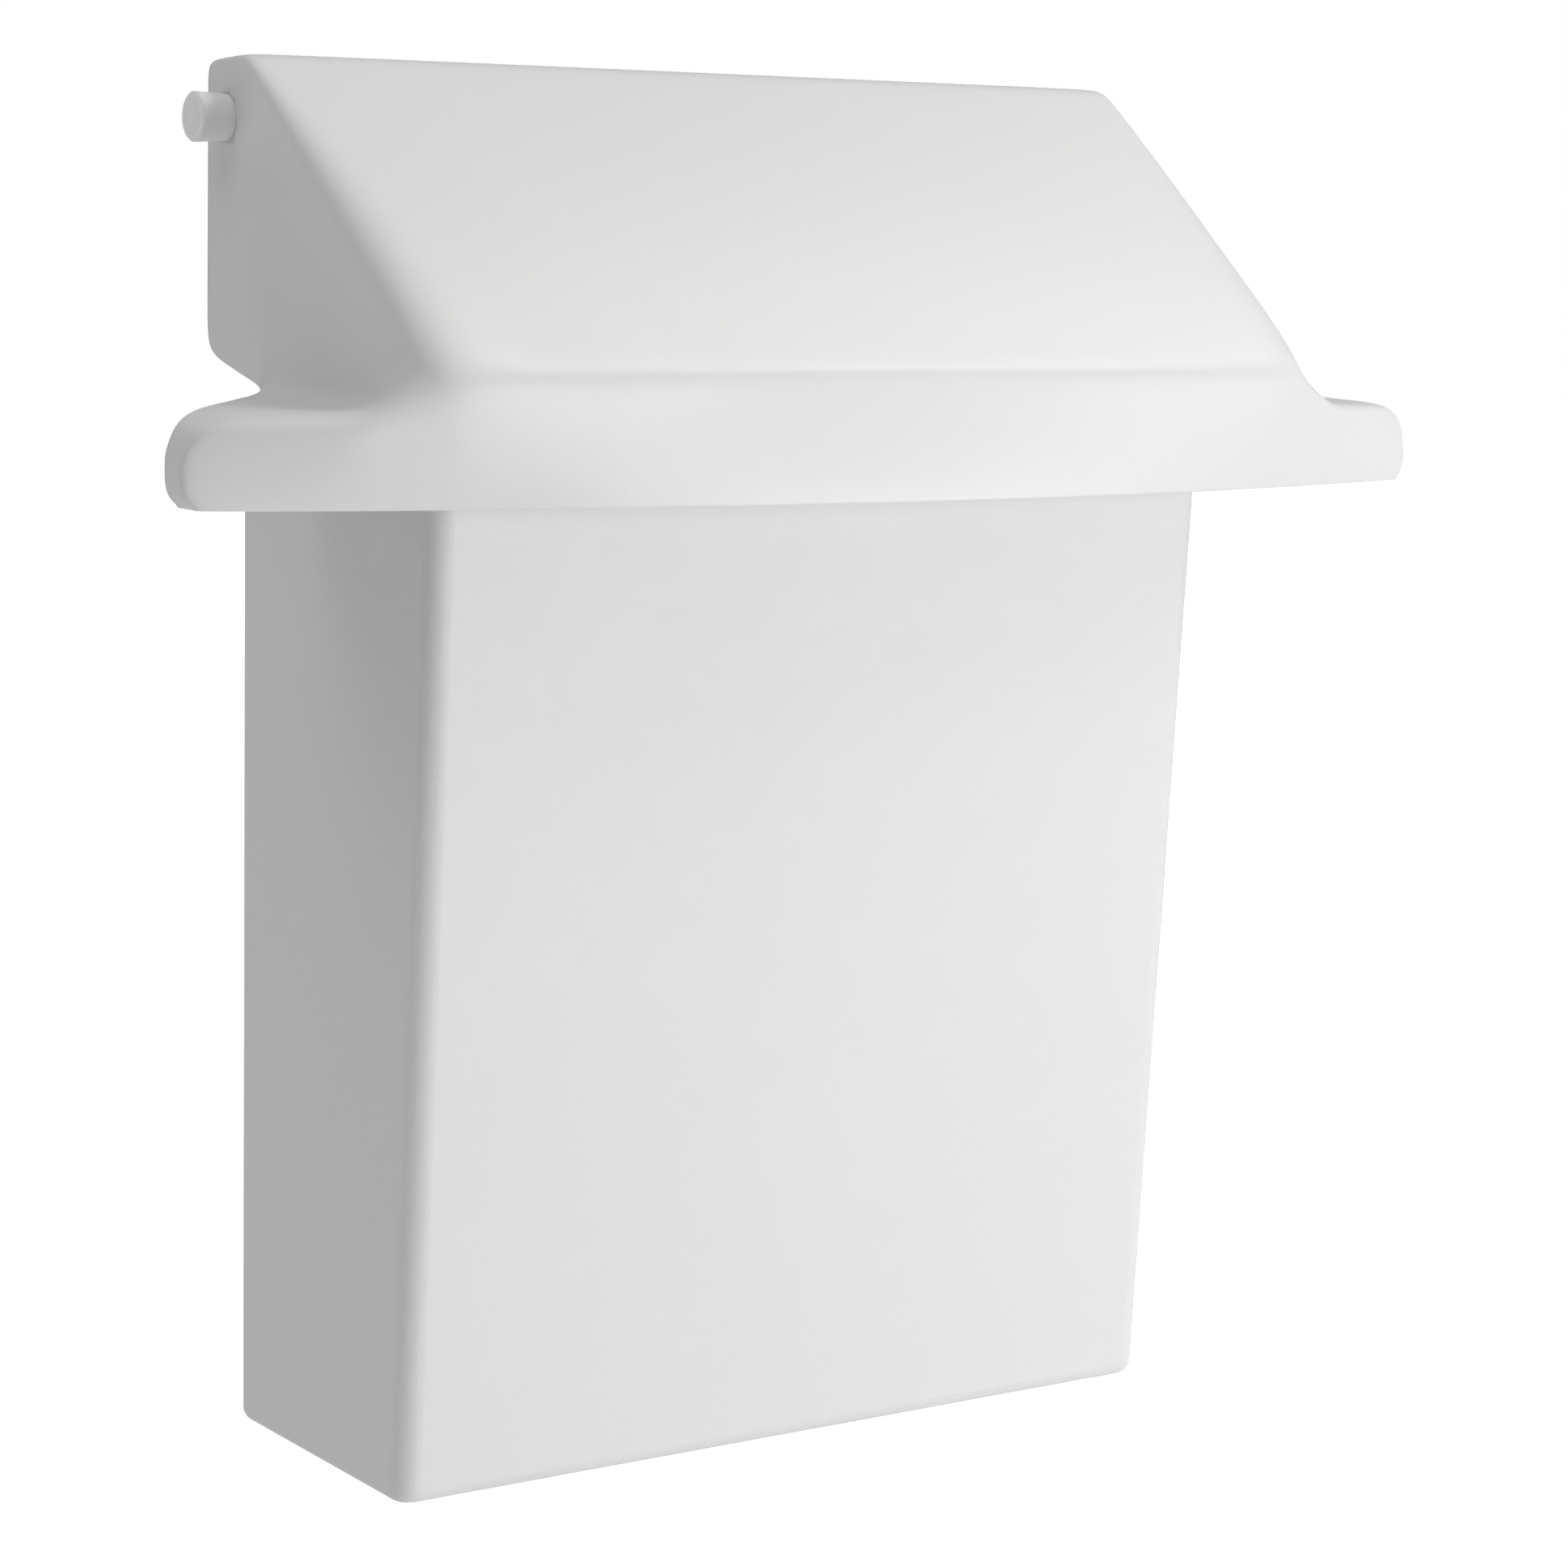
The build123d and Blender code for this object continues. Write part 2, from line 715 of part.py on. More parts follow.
def make_bail_lug():
    """The bracket riveted inside the liner's wall: a pivot hole and two tabs that the folded bail lies on."""
    face = lug_face_x()
    middle = bail_depth()
    top = bail_height() + lug_height / 4
    depths = (middle - lug_width / 2, middle + lug_width / 2)
    plate = block((face - lug_thickness, face), depths, (top - lug_height, top))
    plate = fillet(plate.edges().filter_by(Axis.X), lug_corner_radius)
    tab_top = bail_height() - wire_radius - rest_gap
    for side in (-1, 1):
        tab_middle = middle + side * lug_tab_spacing / 2
        plate += block(
            (face - lug_tab_reach, face - lug_thickness / 2),
            (tab_middle - lug_tab_width / 2, tab_middle + lug_tab_width / 2),
            (tab_top - lug_thickness, tab_top),
        )
    plate -= rod(wire_radius + running_clearance, 0, face + past, middle, bail_height())
    for depth, height in rivet_places():
        plate -= rod(rivet_radius, 0, face + past, depth, height)
    return plate


def make_lug_rivet(depth, height):
    """A rivet through a lug and the liner's wall, with a head on each side."""
    inner = lug_face_x() - lug_thickness
    outer = liner_half_width_at(height) + rivet_seat_gap
    shank = rod(rivet_radius, inner, outer, depth, height)
    inner_head = rod(rivet_head_radius, inner - rivet_head_thickness, inner, depth, height)
    outer_head = rod(rivet_head_radius, outer, outer + rivet_head_thickness, depth, height)
    return shank + inner_head + outer_head


def make_lug_rivets():
    """All four rivets."""
    right = [make_lug_rivet(depth, height) for depth, height in rivet_places()]
    return right + [mirrored(rivet) for rivet in right]


def bail_front():
    """Depth of the bail's long bar as it lies folded forwards."""
    return bail_depth() + bail_arm_length


def make_bail_handle():
    """The wire bail, folded forwards: two turned-out ends, two arms and the long bar."""
    end_x = liner_half_width_at(bail_height()) + bail_end_spare
    arm_x = lug_face_x() - bail_arm_inset
    z = up(bail_height())
    corners = [
        (-end_x, out(bail_depth()), z),
        (-arm_x, out(bail_depth()), z),
        (-arm_x, out(bail_front()), z),
        (arm_x, out(bail_front()), z),
        (arm_x, out(bail_depth()), z),
        (end_x, out(bail_depth()), z),
    ]
    path = FilletPolyline(*corners, radius=bail_bend_radius)
    start = Plane(corners[0], x_dir=(0, 1, 0), z_dir=(1, 0, 0))
    return sweep(start * Circle(wire_radius), path=path)


def make_bail_grip():
    """The plastic tube round the middle of the bail."""
    half = grip_length / 2
    tube = rod(grip_radius, -half, half, bail_front(), bail_height())
    tube = fillet(tube.edges(), 2.0)
    return tube - rod(wire_radius + thread_clearance, -half - 1, half + 1, bail_front(), bail_height())


# ---- The assembly ----

def paired(name, solid):
    """A right-hand piece and its mirror image, as two nodes."""
    return {name + "_right": [solid], name + "_left": [mirrored(solid)]}


def make_nodes():
    """Every node's name and its solids."""
    nodes = {
        "body_shell": [make_body_shell()],
        "back_plate": [make_back_plate()],
        "plate_studs": make_plate_studs(),
        "stud_washers": make_stud_washers(),
        "stud_nuts": make_stud_nuts(),
        "hood": [make_hood()],
        "liner_pads": make_liner_pads(),
        "liner": [make_liner()],
        "lug_rivets": make_lug_rivets(),
        "bail_handle": [make_bail_handle()],
        "bail_grip": [make_bail_grip()],
    }
    nodes.update(paired("hinge_pin", make_hinge_pin()))
    nodes.update(paired("pin_cap", make_pin_cap()))
    nodes.update(paired("hinge_washer", make_hinge_washer()))
    nodes.update(paired("hinge_nut", make_hinge_nut()))
    nodes.update(paired("hinge_spacer", make_hinge_spacer()))
    nodes.update(paired("hinge_bush", make_hinge_bush()))
    nodes.update(paired("lid_buffer", make_lid_buffer()))
    nodes.update(paired("stop_clip", make_stop_clip()))
    nodes.update(paired("bail_lug", make_bail_lug()))
    return nodes


def write_parts():
    """Write one STEP file for each node."""
    os.makedirs("parts", exist_ok=True)
    for name, solids in make_nodes().items():
        pieces = [piece for solid in solids for piece in solid.solids()]
        export_step(Compound(children=pieces) if len(pieces) > 1 else pieces[0], "parts/" + name + ".step")
        print(name, len(pieces), "solid(s), volume", round(sum(piece.volume for piece in pieces)))


write_parts()
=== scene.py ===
# %% [markdown]
# # A dog waste bin
#
# This file builds the looks of a wall-mounted dog waste bin round a finished engineering model.
# The engineering model, called the frame here, already holds every piece in its place, in metres:
# +X to the right, +Y into the wall and +Z up. We add a smoothly moulded hood and small workshop details,
# and give each piece the finish of its real material.

# %% Load the frame
import json
import math

import bmesh
import bpy
from mathutils import Euler, Matrix, Vector


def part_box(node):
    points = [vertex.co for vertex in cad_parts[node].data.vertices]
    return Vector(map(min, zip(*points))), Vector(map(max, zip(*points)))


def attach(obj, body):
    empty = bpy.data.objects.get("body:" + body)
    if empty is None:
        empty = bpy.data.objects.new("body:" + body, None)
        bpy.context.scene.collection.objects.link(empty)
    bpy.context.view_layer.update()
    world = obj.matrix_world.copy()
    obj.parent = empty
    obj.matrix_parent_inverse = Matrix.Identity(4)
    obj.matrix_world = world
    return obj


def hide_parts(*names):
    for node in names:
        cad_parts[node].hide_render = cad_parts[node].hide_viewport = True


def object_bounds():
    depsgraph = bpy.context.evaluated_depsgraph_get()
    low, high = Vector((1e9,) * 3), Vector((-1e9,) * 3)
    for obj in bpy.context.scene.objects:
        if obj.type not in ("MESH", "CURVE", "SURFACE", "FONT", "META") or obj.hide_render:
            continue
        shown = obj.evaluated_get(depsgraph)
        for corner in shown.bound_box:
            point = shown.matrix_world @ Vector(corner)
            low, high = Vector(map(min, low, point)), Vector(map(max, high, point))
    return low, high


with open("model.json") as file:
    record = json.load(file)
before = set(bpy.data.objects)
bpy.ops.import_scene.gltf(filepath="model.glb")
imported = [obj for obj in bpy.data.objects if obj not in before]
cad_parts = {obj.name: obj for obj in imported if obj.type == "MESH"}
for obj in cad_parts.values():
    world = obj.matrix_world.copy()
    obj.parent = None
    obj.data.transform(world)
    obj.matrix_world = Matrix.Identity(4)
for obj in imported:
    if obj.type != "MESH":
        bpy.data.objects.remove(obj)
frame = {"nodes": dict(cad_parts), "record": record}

cad_low, cad_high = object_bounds()
body_low, body_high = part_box("body_shell")
hood_low, hood_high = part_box("hood")
print("whole bin, in metres:", [round(high - low, 3) for low, high in zip(cad_low, cad_high)])

# %% [markdown]
# ## Measuring the way the bin's maker does
#
# The maker gives a place as a depth in front of the body's back face and a height above its base.
# One small function turns such a pair, in millimetres, into a point of the frame. Another reads a
# box's corner the other way, so that new pieces start from what the frame already holds.

# %% Millimetres, depths and heights
MM = 0.001


def at(x, depth, height):
    """A point from its X, its depth and its height, in millimetres."""
    return Vector((x * MM, body_high.y - depth * MM, body_low.z + height * MM))


def depth_of(y):
    """How far a Y lies in front of the body's back face, in millimetres."""
    return (body_high.y - y) / MM


def height_of(z):
    """How far a Z lies above the body's base, in millimetres."""
    return (z - body_low.z) / MM


print("hood's depth:", round(depth_of(hood_high.y), 1), "to", round(depth_of(hood_low.y), 1))
print("hood's height:", round(height_of(hood_low.z), 1), "to", round(height_of(hood_high.z), 1))

# %% [markdown]
# ## The camera
#
# A three-quarter view from the left, a little above the lid. The turn is built from three plain angles:
# first the camera is swung round the bin, then tipped down, then rolled a touch, as a hand-held one is.
# A fairly long lens keeps the upright edges nearly parallel.

# %% Camera
CAMERA_PLACE = Vector((-1.0243, -1.6268, 0.2909))
CAMERA_SWING = math.radians(-34.55)
CAMERA_TIP = math.radians(90 - 8.25)
CAMERA_ROLL = math.radians(1.34)

camera_data = bpy.data.cameras.new("studio_camera")
camera_data.sensor_width = 36
camera_data.lens = 93.26
camera = bpy.data.objects.new("studio_camera", camera_data)
bpy.context.scene.collection.objects.link(camera)
camera_turn = Euler((CAMERA_TIP, 0, CAMERA_SWING)).to_matrix() @ Matrix.Rotation(CAMERA_ROLL, 3, "Z")
camera.matrix_world = Matrix.Translation(CAMERA_PLACE) @ camera_turn.to_4x4()
bpy.context.scene.camera = camera
print("camera looks along", [round(v, 3) for v in camera_turn @ Vector((0, 0, -1))])

# %% [markdown]
# ## A white studio
#
# White plastic on white needs gentle light: too much, and the shape washes out. A big soft lamp stands low,
# to the right and in front, so that the front face is bright right up to the collar's underside. A second
# one, high on the right, lights the roof about as much. Two weak ones on the left keep that side's shade
# even, a small one draws the thin highlight along the crease, and the world adds the light of a bright
# ceiling. What the camera sees behind the bin is plain white, while the light that reaches the bin is
# dimmer: the Light Path node tells the two apart.

# %% World, floor and lamps
WORLD_LIGHT = 0.1
WORLD_SKY_LIGHT = 0.51
FLOOR_LIGHT = 0.0
FLOOR_DROP = 0.45
FLOOR_REACH = 12


def new_world():
    """A world that is white to the eye. As a light it is dim, and brighter overhead."""
    world = bpy.data.worlds.new("studio_world")
    world.use_nodes = True
    tree = world.node_tree
    tree.nodes.clear()
    seen = tree.nodes.new("ShaderNodeBackground")
    seen.inputs["Strength"].default_value = 1.0
    lit = tree.nodes.new("ShaderNodeBackground")
    direction = tree.nodes.new("ShaderNodeTexCoord")
    parts = tree.nodes.new("ShaderNodeSeparateXYZ")
    strength = tree.nodes.new("ShaderNodeMapRange")
    strength.inputs["To Min"].default_value = WORLD_LIGHT
    strength.inputs["To Max"].default_value = WORLD_LIGHT + WORLD_SKY_LIGHT
    tree.links.new(direction.outputs["Generated"], parts.inputs["Vector"])
    tree.links.new(parts.outputs["Z"], strength.inputs["Value"])
    tree.links.new(strength.outputs["Result"], lit.inputs["Strength"])
    for background in (seen, lit):
        background.inputs["Color"].default_value = (1, 1, 1, 1)
    path = tree.nodes.new("ShaderNodeLightPath")
    mix = tree.nodes.new("ShaderNodeMixShader")
    output = tree.nodes.new("ShaderNodeOutputWorld")
    tree.links.new(path.outputs["Is Camera Ray"], mix.inputs["Fac"])
    tree.links.new(lit.outputs["Background"], mix.inputs[1])
    tree.links.new(seen.outputs["Background"], mix.inputs[2])
    tree.links.new(mix.outputs["Shader"], output.inputs["Surface"])
    return world


def new_lamp(name, place, target, size, power):
    """A square soft lamp that faces a point."""
    data = bpy.data.lights.new(name, "AREA")
    data.shape = "SQUARE"
    data.size = size
    data.energy = power
    lamp = bpy.data.objects.new(name, data)
    bpy.context.scene.collection.objects.link(lamp)
    lamp.location = place
    lamp.rotation_euler = (target - place).to_track_quat("-Z", "Y").to_euler()
    return lamp


bpy.context.scene.world = new_world()
bpy.context.scene.view_settings.view_transform = "Standard"
middle = (cad_low + cad_high) / 2
lamps = [
    new_lamp("key_lamp", Vector((1.4, -2.4, -0.1)), middle, 1.4, 41),
    new_lamp("top_lamp", Vector((1.4, -0.5, 2.2)), middle, 1.2, 19),
    new_lamp("crease_lamp", Vector((1.3, -1.1, 1.77)), middle, 0.35, 2.6),
    new_lamp("left_top_lamp", Vector((-1.3, -0.2, 2.0)), middle, 1.2, 5.3),
    new_lamp("left_rear_lamp", Vector((-2.2, 1.3, 0.1)), middle, 1.6, 5.7),
]
print("lamps:", [lamp.name for lamp in lamps])

# %% The floor
floor_mesh = bpy.data.meshes.new("studio_floor")
floor_form = bmesh.new()
bmesh.ops.create_grid(floor_form, x_segments=1, y_segments=1, size=FLOOR_REACH)
bmesh.ops.translate(floor_form, verts=floor_form.verts, vec=(0, 0, cad_low.z - FLOOR_DROP))
floor_form.to_mesh(floor_mesh)
floor_form.free()
floor = bpy.data.objects.new("studio_floor", floor_mesh)
bpy.context.scene.collection.objects.link(floor)
floor_paint = bpy.data.materials.new("studio_floor_paint")
floor_paint.use_nodes = True
floor_shader = floor_paint.node_tree.nodes["Principled BSDF"]
floor_shader.inputs["Base Color"].default_value = (0.9, 0.9, 0.9, 1)
floor_shader.inputs["Roughness"].default_value = 0.9
floor_shader.inputs["Emission Color"].default_value = (1, 1, 1, 1)
floor_path = floor_paint.node_tree.nodes.new("ShaderNodeLightPath")
floor_glow = floor_paint.node_tree.nodes.new("ShaderNodeMapRange")
floor_glow.inputs["To Min"].default_value = FLOOR_LIGHT
floor_glow.inputs["To Max"].default_value = 1.0
floor_paint.node_tree.links.new(floor_path.outputs["Is Camera Ray"], floor_glow.inputs["Value"])
floor_paint.node_tree.links.new(floor_glow.outputs["Result"], floor_shader.inputs["Emission Strength"])
floor_mesh.materials.append(floor_paint)
print("floor lies", FLOOR_DROP, "m below the bin")

# %% [markdown]
# ## Shared surface effects
#
# Real surfaces differ from a flat colour in the same few ways, so each way is one node group, built once
# and placed in each material with its own numbers: the fine grain that a mould or a roller leaves, the
# polish or paleness of worn edges, and the dust that settles on what faces up. A group hands out only
# colours, masks and heights; the shader that uses them stays in the material.

# %% Helpers for node groups
def new_group(name, inputs, outputs):
    """An empty shader group with named sockets, and its two end nodes."""
    tree = bpy.data.node_groups.new(name, "ShaderNodeTree")
    for label, kind, value in inputs:
        socket = tree.interface.new_socket(name=label, in_out="INPUT", socket_type=kind)
        socket.default_value = value
    for label, kind in outputs:
        tree.interface.new_socket(name=label, in_out="OUTPUT", socket_type=kind)
    return tree, tree.nodes.new("NodeGroupInput"), tree.nodes.new("NodeGroupOutput")


def add(tree, kind, settings=None, **values):
    """A node with its settings made, and its inputs set to a value or joined to a socket."""
    made = tree.nodes.new(kind)
    for label, value in (settings or {}).items():
        setattr(made, label, value)
    for label, value in values.items():
        feed(tree, made.inputs[label.replace("_", " ")], value)
    return made


def feed(tree, socket, value):
    """Joins a socket to another one, or sets it to a value."""
    if isinstance(value, bpy.types.NodeSocket):
        tree.links.new(value, socket)
    else:
        socket.default_value = value


def maths(tree, operation, first, second=0.0, third=None, clamp=False):
    """The result of one sum of two numbers, or of three."""
    made = add(tree, "ShaderNodeMath", {"operation": operation, "use_clamp": clamp})
    feed(tree, made.inputs[0], first)
    feed(tree, made.inputs[1], second)
    if third is not None:
        feed(tree, made.inputs[2], third)
    return made.outputs[0]


def blended(tree, share, first, second, how="MIX"):
    """Two colours mixed by a share. The Mix node's colours are its inputs 6 and 7 and its output 2."""
    made = add(tree, "ShaderNodeMix", {"data_type": "RGBA", "blend_type": how})
    feed(tree, made.inputs[0], share)
    feed(tree, made.inputs[6], first)
    feed(tree, made.inputs[7], second)
    return made.outputs[2]


FLOAT = "NodeSocketFloat"
COLOUR = "NodeSocketColor"

# %% Surface grain
def build_surface_grain():
    """Fine grain and a slow drift of tone, both read from the piece's own coordinates."""
    tree, given, result = new_group(
        "surface_grain",
        [("Colour", COLOUR, (0.8, 0.8, 0.8, 1)), ("Drift", FLOAT, 0.04), ("Grain Size", FLOAT, 900.0),
         ("Roughness", FLOAT, 0.5), ("Roughness Drift", FLOAT, 0.08)],
        [("Colour", COLOUR), ("Roughness", FLOAT), ("Height", FLOAT)],
    )
    place = add(tree, "ShaderNodeTexCoord").outputs["Object"]
    slow = add(tree, "ShaderNodeTexNoise", Vector=place, Scale=5.0, Detail=3.0, Roughness=0.55)
    fine = add(tree, "ShaderNodeTexNoise", Vector=place, Scale=given.outputs["Grain Size"], Detail=2.0)
    middle_size = add(tree, "ShaderNodeTexNoise", Vector=place, Scale=60.0, Detail=2.0)
    slow_share = maths(tree, "SUBTRACT", slow.outputs["Fac"], 0.5)
    tone = maths(tree, "MULTIPLY_ADD", slow_share, given.outputs["Drift"], 1.0)
    shade = add(tree, "ShaderNodeCombineColor", Red=tone, Green=tone, Blue=tone)
    colour = blended(tree, 1.0, given.outputs["Colour"], shade.outputs["Color"], "MULTIPLY")
    uneven = maths(tree, "SUBTRACT", middle_size.outputs["Fac"], 0.5)
    uneven = maths(tree, "MULTIPLY", uneven, given.outputs["Roughness Drift"])
    roughness = maths(tree, "ADD", given.outputs["Roughness"], uneven, clamp=True)
    feed(tree, result.inputs["Colour"], colour)
    feed(tree, result.inputs["Roughness"], roughness)
    feed(tree, result.inputs["Height"], fine.outputs["Fac"])
    return tree


surface_grain = build_surface_grain()
print("group:", surface_grain.name)

# %% Edge wear
EDGE_CONTRAST = 8.0


def build_edge_wear():
    """A mask of the edges, broken up by noise. A rounded normal differs from the true one there."""
    tree, given, result = new_group(
        "edge_wear",
        [("Width", FLOAT, 0.002), ("Amount", FLOAT, 0.5), ("Breakup Size", FLOAT, 120.0)],
        [("Mask", FLOAT)],
    )
    place = add(tree, "ShaderNodeTexCoord").outputs["Object"]
    soft = add(tree, "ShaderNodeBevel", {"samples": 4}, Radius=given.outputs["Width"])
    true = add(tree, "ShaderNodeNewGeometry")
    match = add(tree, "ShaderNodeVectorMath", {"operation": "DOT_PRODUCT"})
    feed(tree, match.inputs[0], soft.outputs["Normal"])
    feed(tree, match.inputs[1], true.outputs["Normal"])
    edge = maths(tree, "SUBTRACT", 1.0, match.outputs["Value"])
    edge = maths(tree, "MULTIPLY", edge, EDGE_CONTRAST, clamp=True)
    noise = add(tree, "ShaderNodeTexNoise", Vector=place, Scale=given.outputs["Breakup Size"], Detail=4.0)
    broken = maths(tree, "MULTIPLY", edge, noise.outputs["Fac"])
    mask = maths(tree, "MULTIPLY", broken, given.outputs["Amount"], clamp=True)
    feed(tree, result.inputs["Mask"], mask)
    return tree


edge_wear = build_edge_wear()
print("group:", edge_wear.name)

# %% Settled dust
def build_settled_dust():
    """A faint mask on what faces up at rest, thicker in patches."""
    tree, given, result = new_group(
        "settled_dust",
        [("Amount", FLOAT, 0.2), ("Patch Size", FLOAT, 14.0)],
        [("Mask", FLOAT)],
    )
    sample = add(tree, "ShaderNodeTexCoord")
    facing = add(tree, "ShaderNodeSeparateXYZ", Vector=sample.outputs["Normal"])
    upward = maths(tree, "MULTIPLY", facing.outputs["Z"], 1.0, clamp=True)
    noise = add(tree, "ShaderNodeTexNoise", Vector=sample.outputs["Object"],
                Scale=given.outputs["Patch Size"], Detail=5.0, Roughness=0.6)
    patches = maths(tree, "MULTIPLY", upward, noise.outputs["Fac"])
    mask = maths(tree, "MULTIPLY", patches, given.outputs["Amount"], clamp=True)
    feed(tree, result.inputs["Mask"], mask)
    return tree


settled_dust = build_settled_dust()
print("group:", settled_dust.name)

# %% A material with the three effects
def place_group(tree, group, **values):
    """A copy of a group inside a material, with its inputs set or joined."""
    made = add(tree, "ShaderNodeGroup", {"node_tree": group})
    for label, value in values.items():
        feed(tree, made.inputs[label.replace("_", " ")], value)
    return made


def new_finish(name, colour, roughness, grain, grain_depth, worn_colour, wear=0.4, wear_width=0.0015,
               drift=0.05, roughness_drift=0.1, dust=0.1, dust_colour=(0.62, 0.6, 0.56), **constants):
    """A Principled material with grain, worn edges and dust. Constants go straight onto its sockets."""
    material = bpy.data.materials.new(name)
    material.use_nodes = True
    tree = material.node_tree
    shader = tree.nodes["Principled BSDF"]
    base = place_group(tree, surface_grain, Colour=(*colour, 1), Drift=drift, Grain_Size=grain,
                       Roughness=roughness, Roughness_Drift=roughness_drift)
    edges = place_group(tree, edge_wear, Width=wear_width, Amount=wear)
    powder = place_group(tree, settled_dust, Amount=dust)
    worn = blended(tree, edges.outputs["Mask"], base.outputs["Colour"], (*worn_colour, 1))
    dusty = blended(tree, powder.outputs["Mask"], worn, (*dust_colour, 1))
    feed(tree, shader.inputs["Base Color"], dusty)
    feed(tree, shader.inputs["Roughness"], base.outputs["Roughness"])
    bump = add(tree, "ShaderNodeBump", Strength=1.0, Distance=grain_depth, Height=base.outputs["Height"])
    feed(tree, shader.inputs["Normal"], bump.outputs["Normal"])
    for label, value in constants.items():
        shader.inputs[label.replace("_", " ")].default_value = value
    return material


# %% [markdown]
# ## The finishes
#
# The shell is matte white moulded plastic: almost even, with the fine spark-eroded grain of its mould and
# edges polished a little by hands. Steel pieces are zinc plated or hot-dip galvanised, rubber is black and
# dull, and nylon is creamy and slightly soft to the light.

# %% Plastics and rubber
WHITE = (0.74, 0.74, 0.735)
body_plastic = new_finish("body_plastic", WHITE, 0.52, 1100, 0.00005, (0.8, 0.8, 0.79), wear=0.3,
                          drift=0.03, dust=0.05)
hood_plastic = new_finish("hood_plastic", WHITE, 0.4, 1100, 0.00005, (0.8, 0.8, 0.79), wear=0.3,
                          drift=0.03, dust=0.06)
# Painted light: the pins are painted paler than the shell's white, to stand in for the light that the hood's
# shadow keeps from them.
pin_plastic = new_finish("pin_plastic", (0.92, 0.92, 0.915), 0.42, 1500, 0.00003, (0.78, 0.78, 0.77),
                         dust=0.05)
cap_plastic = new_finish("cap_plastic", (0.86, 0.86, 0.855), 0.42, 1500, 0.00003, (0.8, 0.8, 0.79),
                         dust=0.03)
nylon = new_finish("nylon", (0.72, 0.69, 0.6), 0.4, 700, 0.00004, (0.78, 0.76, 0.7),
                   Subsurface_Weight=0.15, Subsurface_Scale=0.004)
grip_plastic = new_finish("grip_plastic", (0.045, 0.048, 0.052), 0.5, 900, 0.00008, (0.12, 0.12, 0.12))
rubber = new_finish("rubber", (0.02, 0.02, 0.021), 0.75, 800, 0.0001, (0.05, 0.05, 0.05), dust=0.35)

# %% Metals
coated_steel = new_finish("coated_steel", (0.6, 0.6, 0.59), 0.45, 380, 0.00012, (0.45, 0.45, 0.45), wear=0.6,
                          drift=0.06, dust=0.25)
zinc_steel = new_finish("zinc_steel", (0.55, 0.56, 0.57), 0.34, 600, 0.00005, (0.7, 0.7, 0.7), drift=0.12,
                        Metallic=1.0)
zinc_wire = new_finish("zinc_wire", (0.52, 0.53, 0.55), 0.3, 500, 0.00005, (0.68, 0.68, 0.68), drift=0.15,
                       Metallic=1.0)
galvanised = new_finish("galvanised_steel", (0.5, 0.52, 0.54), 0.42, 300, 0.00006, (0.62, 0.62, 0.62),
                        drift=0.2, dust=0.2, Metallic=0.9)
print("finishes:", [m.name for m in bpy.data.materials])

# %% Dress the pieces that keep their engineering shape
FINISHES = {
    "body_plastic": body_plastic, "hood_plastic": hood_plastic, "coated_steel": coated_steel,
    "zinc_steel": zinc_steel, "zinc_wire": zinc_wire, "galvanised_steel": galvanised, "rubber": rubber,
    "nylon": nylon, "pin_plastic": pin_plastic, "cap_plastic": cap_plastic, "grip_plastic": grip_plastic,
}


def dress(obj, material):
    """Puts one finish on an object, whatever its mesh holds."""
    if not obj.material_slots:
        obj.data.materials.append(material)
    for slot in obj.material_slots:
        slot.link = "OBJECT"
        slot.material = material


for row in frame["record"]["subparts"]:
    dress(frame["nodes"][row["node"]], FINISHES[row["material_slot"]])
print("dressed", len(frame["nodes"]), "pieces")

# %% [markdown]
# ## The hood
#
# The hood is one moulding: a roof that slopes to a crease, two cheeks, and a collar that runs out into two
# hollow wings, which are the finger grips. It could be cut from boxes and rounded with bevels, but then
# each blend needs its own radius, and they meet badly at the corners of the cheeks. A coarse cage under a
# subdivision surface gives one flowing skin instead: rows of the cage that lie close together make a tight
# edge, and rows that spread apart make a soft one. So the cheek's edge is crisp at the ridge and opens out
# where it runs into the wing, as on the real moulding.
#
# Only the right half is made. A flat grid is laid out, each of its points is moved to its place, its edge is
# pulled down into walls, and the mirror operator adds the other half.

# %% The hood's sizes, in millimetres
PIN_STICK_OUT = 15.5
cheek_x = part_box("hinge_pin_right")[1].x / MM - PIN_STICK_OUT
tip_x = hood_high.x / MM
lip_depth = depth_of(hood_high.y)
collar_depth = depth_of(hood_low.y)
collar_bottom = height_of(hood_low.z)
ridge_height = height_of(hood_high.z)

RIDGE_DEPTH = 60
RIDGE_ROUND = 9
ROOF_BULGE = 4.5
CREASE_DEPTH, CREASE_HEIGHT = 227, 489
CREASE_BOW, CREASE_FALL = 4, 4
COLLAR_BOW_RADIUS = 1070
TIP_DEPTHS = (170, 173.5, 176, 178, 180.5, 184)
TIP_HEIGHTS = (453, 454, 454, 454, 453, 451)
CHEEK_CORNER_HEIGHT = 488
SKIN = 4

print("cheek at", round(cheek_x, 1), "tip at", round(tip_x, 1), "mm")

# %% Lines that the cage follows
def between(first, second, share):
    """A value, or a pair of values, part of the way from one to another."""
    if isinstance(first, (tuple, list)):
        return tuple(between(a, b, share) for a, b in zip(first, second))
    return first + (second - first) * share


def bow(x):
    """How far the collar's bottom line falls back at one X."""
    return COLLAR_BOW_RADIUS - math.sqrt(COLLAR_BOW_RADIUS ** 2 - x ** 2)


def crease_at(x):
    """Depth and height of the line where roof and collar meet."""
    side = (x / cheek_x) ** 2
    return (CREASE_DEPTH - CREASE_BOW * side, CREASE_HEIGHT - CREASE_FALL * side)


